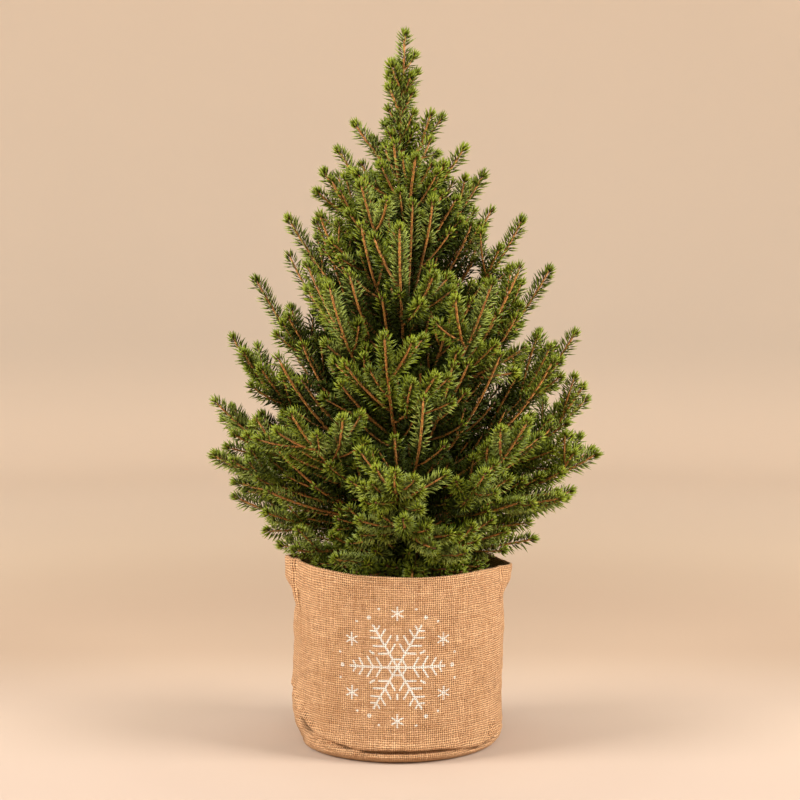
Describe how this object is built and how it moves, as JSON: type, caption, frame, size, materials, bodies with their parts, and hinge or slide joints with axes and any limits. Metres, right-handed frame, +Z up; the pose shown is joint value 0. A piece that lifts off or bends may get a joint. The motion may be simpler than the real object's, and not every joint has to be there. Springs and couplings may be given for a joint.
{
  "type": "potted alberta spruce",
  "caption": "Young conical spruce with dense needled shoots on rising boughs, growing in a nursery pot that stands in a round jute sack with a turned-in hem.",
  "frame": {"origin": "centre of the flat underside of the jute sack", "axes": "+Z up along the plant, which is its longest way; -Y is the front with the printed side of the sack; the sack's side seams are at +X and -X"},
  "size_m": [0.389, 0.3908, 0.7041],
  "materials": {
    "jute": "coarse plain-woven jute with a printed white pattern on the front",
    "pot_plastic": "thin black moulded plastic",
    "peat": "moist dark crumbly peat",
    "bark": "rough brown bark, orange brown on young shoots",
    "needles": "short green needles, slightly waxy"
  },
  "bodies": {
    "root": {"jute_sack": "jute", "nursery_pot": "pot_plastic", "soil": "peat", "trunk": "bark", "bough_low_1": "bark", "bough_low_2": "bark", "bough_low_3": "bark", "bough_low_4": "bark", "bough_low_5": "bark", "bough_wide_1": "bark", "bough_wide_2": "bark", "bough_wide_3": "bark", "bough_wide_4": "bark", "bough_wide_5": "bark", "bough_broad_1": "bark", "bough_broad_2": "bark", "bough_broad_3": "bark", "bough_broad_4": "bark", "mass_skirt_1": "needles", "mass_skirt_2": "needles", "mass_skirt_3": "needles", "mass_skirt_4": "needles", "mass_skirt_5": "needles", "mass_base_1": "needles", "mass_base_2": "needles", "mass_base_3": "needles", "mass_base_4": "needles", "mass_low_1": "needles", "mass_low_2": "needles", "mass_low_3": "needles", "mass_low_4": "needles", "mass_low_5": "needles", "mass_wide_1": "needles", "mass_wide_2": "needles", "mass_wide_3": "needles", "mass_wide_4": "needles", "mass_wide_5": "needles", "mass_broad_1": "needles", "mass_broad_2": "needles", "mass_broad_3": "needles", "mass_broad_4": "needles", "mass_middle_1": "needles", "mass_middle_2": "needles", "mass_middle_3": "needles", "mass_middle_4": "needles", "mass_middle_5": "needles", "mass_high_1": "needles", "mass_high_2": "needles", "mass_high_3": "needles", "mass_high_4": "needles", "mass_upper_1": "needles", "mass_upper_2": "needles", "mass_upper_3": "needles", "mass_upper_4": "needles", "mass_crown_1": "needles", "mass_crown_2": "needles", "mass_crown_3": "needles", "mass_top_1": "needles", "mass_top_2": "needles", "mass_leader": "needles"}
  },
  "joints": []
}
